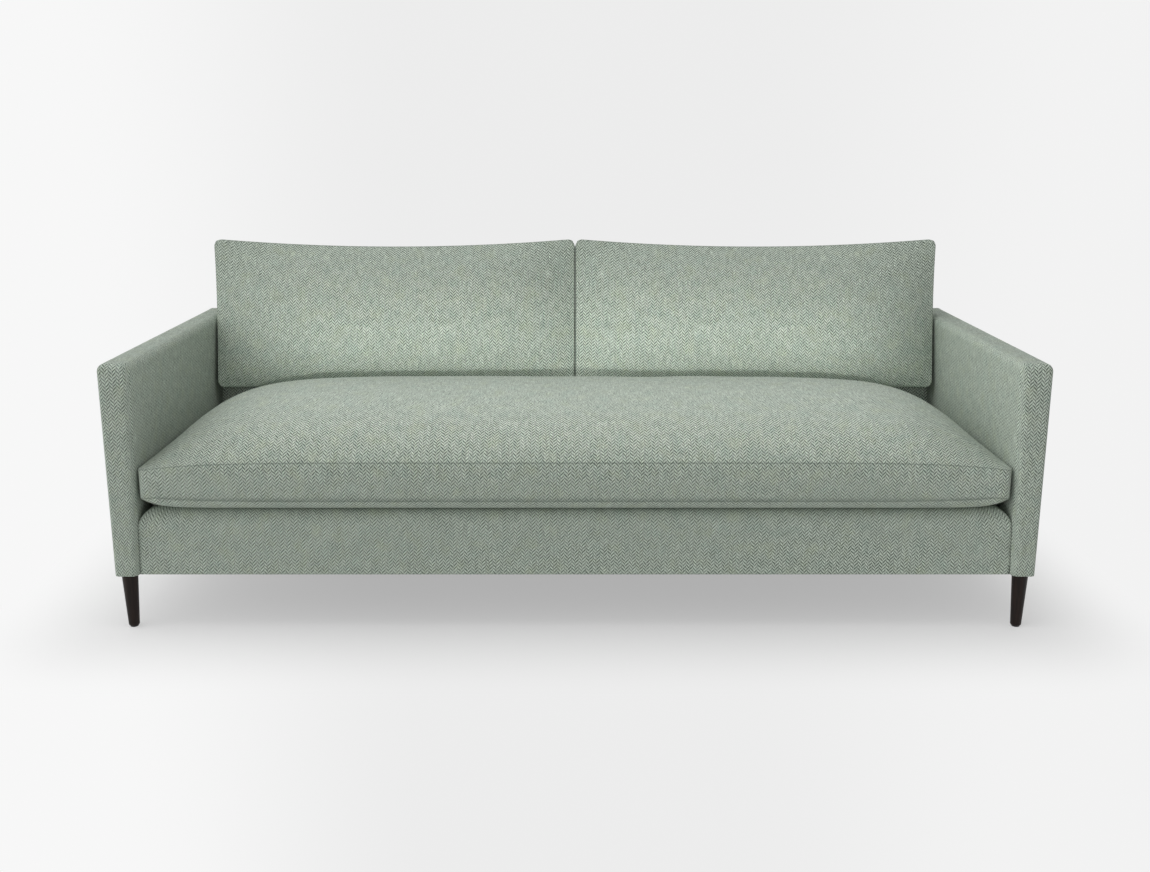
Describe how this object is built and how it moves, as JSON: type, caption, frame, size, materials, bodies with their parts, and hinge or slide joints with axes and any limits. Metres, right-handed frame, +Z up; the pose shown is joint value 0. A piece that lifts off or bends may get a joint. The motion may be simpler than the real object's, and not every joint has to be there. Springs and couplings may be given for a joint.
{
  "type": "four-seater sofa",
  "caption": "Upholstered sofa with thin tapered arms, one crowned bench seat cushion, loose back cushions on a sprung deck and round tapered legs.",
  "frame": {"origin": "on the floor under the middle of the sofa", "axes": "+X along the width to the right as seen from the front, -Y to the front, +Z up"},
  "size_m": [2.24, 0.94, 0.8833],
  "materials": {
    "sage_herringbone": "sage green herringbone weave",
    "foam": "cream polyurethane foam",
    "fibre_wadding": "white polyester fibre",
    "hardboard": "brown hardboard",
    "pine": "sawn pine",
    "plywood": "birch plywood",
    "spring_steel": "dark oiled spring steel",
    "zinc_steel": "zinc plated steel",
    "paper_wrapped_wire": "paper wrapped tie wire",
    "grey_felt": "pressed grey felt",
    "deck_cloth": "plain grey green decking cloth",
    "black_nonwoven": "black spunbonded cloth",
    "elastic_webbing": "woven elastic webbing",
    "nylon_zip": "nylon coil zip",
    "zip_metal": "grey lacquered zinc alloy",
    "stained_beech": "near black stained beech, satin",
    "nylon": "black nylon"
  },
  "bodies": {
    "frame": {"arm_cover_left": "sage_herringbone", "arm_cover_right": "sage_herringbone", "front_border_cover": "sage_herringbone", "inside_back_cover": "sage_herringbone", "outside_back_cover": "sage_herringbone", "arm_padding_left": "foam", "arm_padding_right": "foam", "front_border_padding": "foam", "inside_back_padding": "foam", "deck_pad": "fibre_wadding", "arm_boards_left": "hardboard", "arm_boards_right": "hardboard", "rear_board": "hardboard", "arm_posts_left": "pine", "arm_posts_right": "pine", "arm_top_rail_left": "pine", "arm_top_rail_right": "pine", "arm_bottom_rail_left": "pine", "arm_bottom_rail_right": "pine", "front_rail": "pine", "back_rail": "pine", "spring_rail": "pine", "base_end_rail_left": "pine", "base_end_rail_right": "pine", "centre_stretchers": "pine", "corner_blocks": "pine", "back_top_rail": "pine", "back_ribs": "plywood", "seat_springs": "spring_steel", "spring_clips": "zinc_steel", "leg_hanger_bolts": "zinc_steel", "leg_inserts": "zinc_steel", "arm_bolts": "zinc_steel", "arm_bolt_inserts": "zinc_steel", "spring_tie_wires": "paper_wrapped_wire", "spring_insulator": "grey_felt", "deck_cloth": "deck_cloth", "dust_cover": "black_nonwoven", "back_webbing": "elastic_webbing", "leg_front_left": "stained_beech", "leg_front_right": "stained_beech", "leg_rear_left": "stained_beech", "leg_rear_right": "stained_beech", "leg_glides": "nylon"},
    "seat_cushion": {"seat_cushion_cover": "sage_herringbone", "seat_cushion_filling": "fibre_wadding", "seat_cushion_core": "foam", "seat_zip_teeth": "nylon_zip"},
    "seat_zip_slider": {"seat_zip_slider": "zip_metal"},
    "back_cushion_left": {"back_cushion_cover_left": "sage_herringbone", "back_cushion_filling_left": "fibre_wadding", "back_cushion_core_left": "foam", "back_zip_teeth_left": "nylon_zip"},
    "back_zip_slider_left": {"back_zip_slider_left": "zip_metal"},
    "back_cushion_right": {"back_cushion_cover_right": "sage_herringbone", "back_cushion_filling_right": "fibre_wadding", "back_cushion_core_right": "foam", "back_zip_teeth_right": "nylon_zip"},
    "back_zip_slider_right": {"back_zip_slider_right": "zip_metal"}
  },
  "joints": [
    {"name": "seat_cushion_slide", "type": "slide", "parent": "frame", "child": "seat_cushion", "axis": [0, -1, 0], "range_m": [0, 0.9]},
    {"name": "back_cushion_lift_left", "type": "slide", "parent": "frame", "child": "back_cushion_left", "axis": [0, 0, 1], "range_m": [0, 0.5]},
    {"name": "back_cushion_lift_right", "type": "slide", "parent": "frame", "child": "back_cushion_right", "axis": [0, 0, 1], "range_m": [0, 0.5]},
    {"name": "seat_zip_slide", "type": "slide", "parent": "seat_cushion", "child": "seat_zip_slider", "axis": [1, 0, 0], "range_m": [0, 1.62]},
    {"name": "back_zip_slide_left", "type": "slide", "parent": "back_cushion_left", "child": "back_zip_slider_left", "axis": [-1, 0, 0], "range_m": [0, 0.77]},
    {"name": "back_zip_slide_right", "type": "slide", "parent": "back_cushion_right", "child": "back_zip_slider_right", "axis": [1, 0, 0], "range_m": [0, 0.77]}
  ]
}
